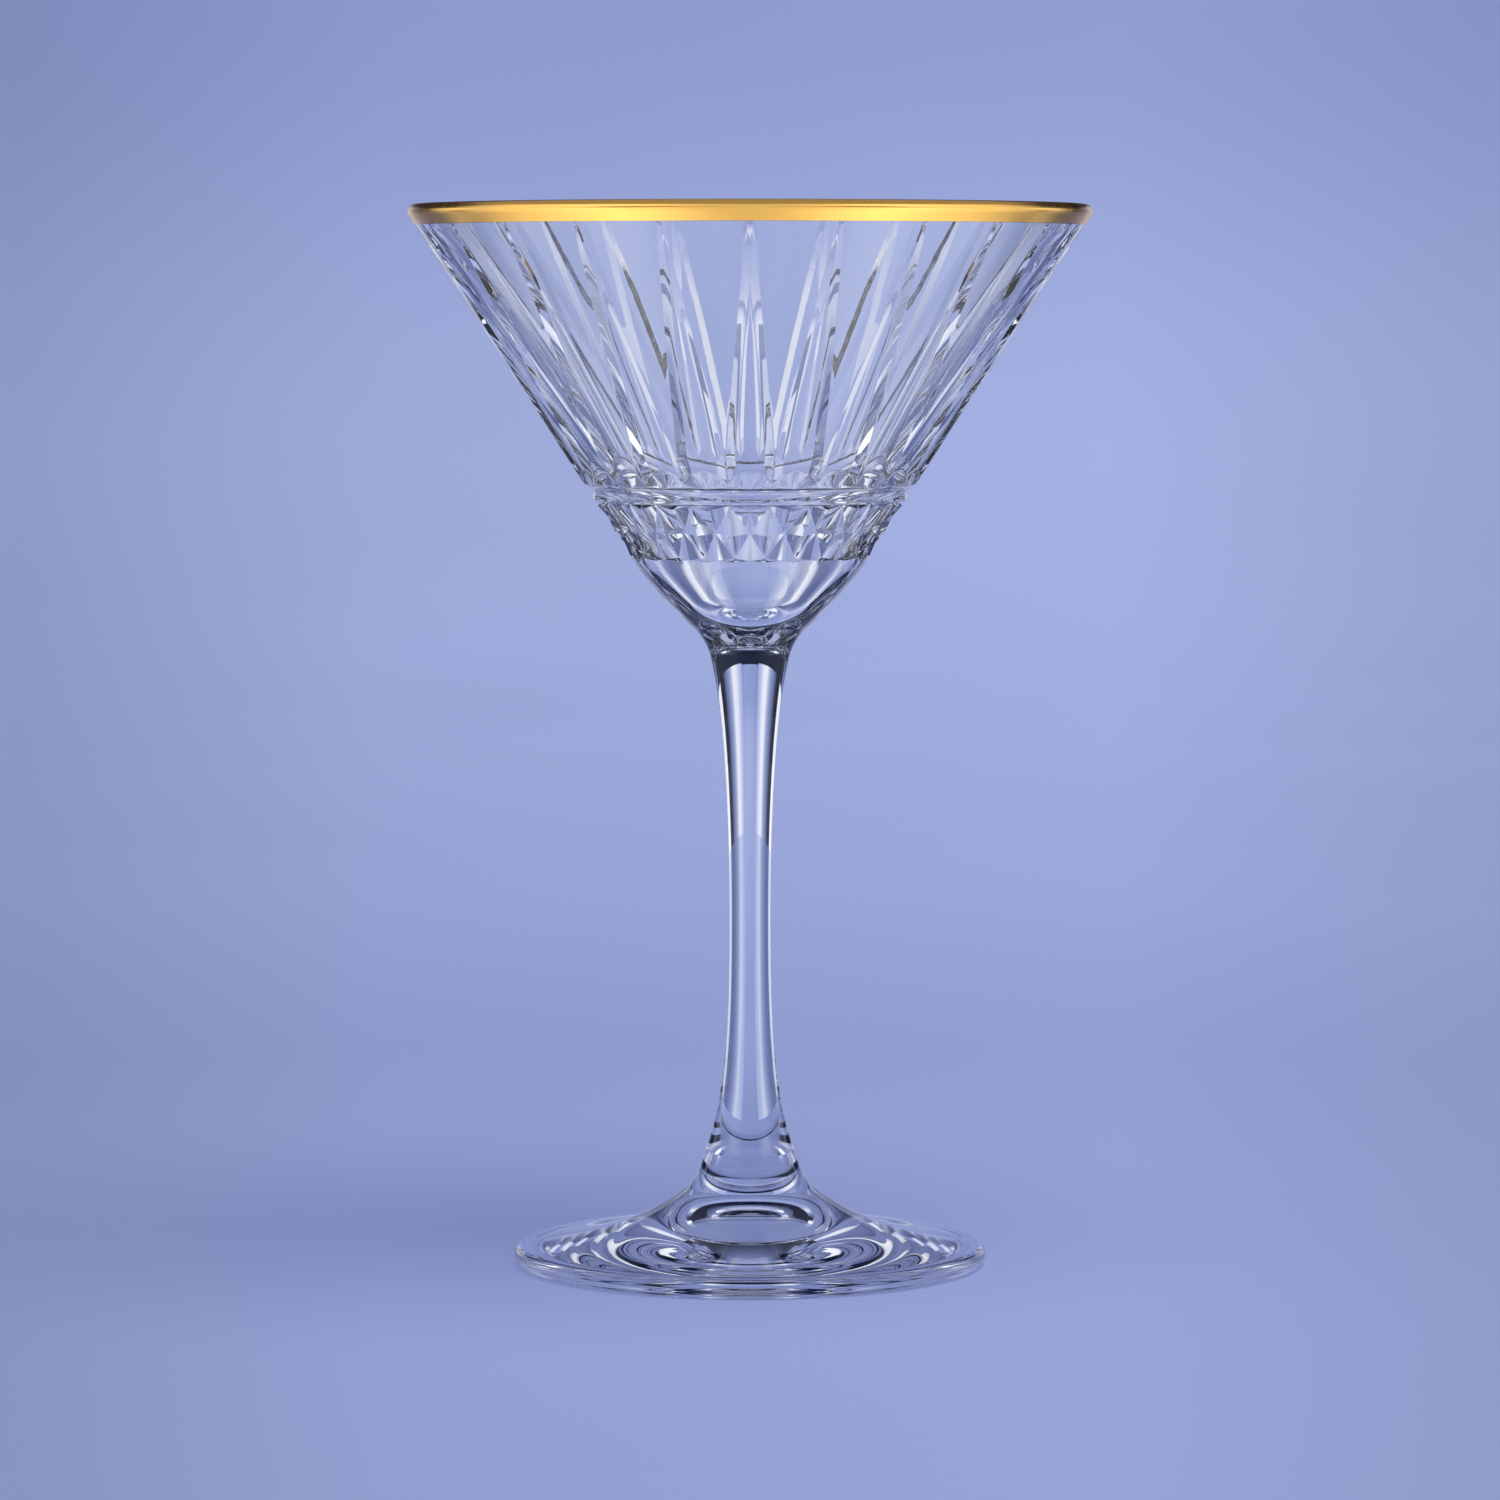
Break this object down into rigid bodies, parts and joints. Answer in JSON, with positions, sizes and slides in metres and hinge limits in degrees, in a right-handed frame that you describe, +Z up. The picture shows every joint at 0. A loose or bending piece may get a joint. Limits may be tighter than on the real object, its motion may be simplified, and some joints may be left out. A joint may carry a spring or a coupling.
{
  "type": "martini glass",
  "caption": "Stemmed cocktail glass: a conical bowl with long cuts over a diamond band, a gilded lip, a waisted solid stem and a domed round foot.",
  "frame": {"origin": "centre of the foot, on the surface that the glass stands on", "axes": "+Z up along the glass's axis of revolution; -Y towards a viewer who faces the middle of one long cut"},
  "size_m": [0.1102, 0.1102, 0.172],
  "materials": {
    "cut_glass": "clear soda-lime crystal glass, pressed, with polished long cuts and diamonds",
    "clear_glass": "clear soda-lime crystal glass, fire polished",
    "fired_gold": "fired bright gold film, softly polished"
  },
  "bodies": {
    "root": {"bowl": "cut_glass", "rim_gilding": "fired_gold", "neck": "clear_glass", "stem": "clear_glass", "collar": "clear_glass", "foot": "clear_glass"}
  },
  "joints": []
}
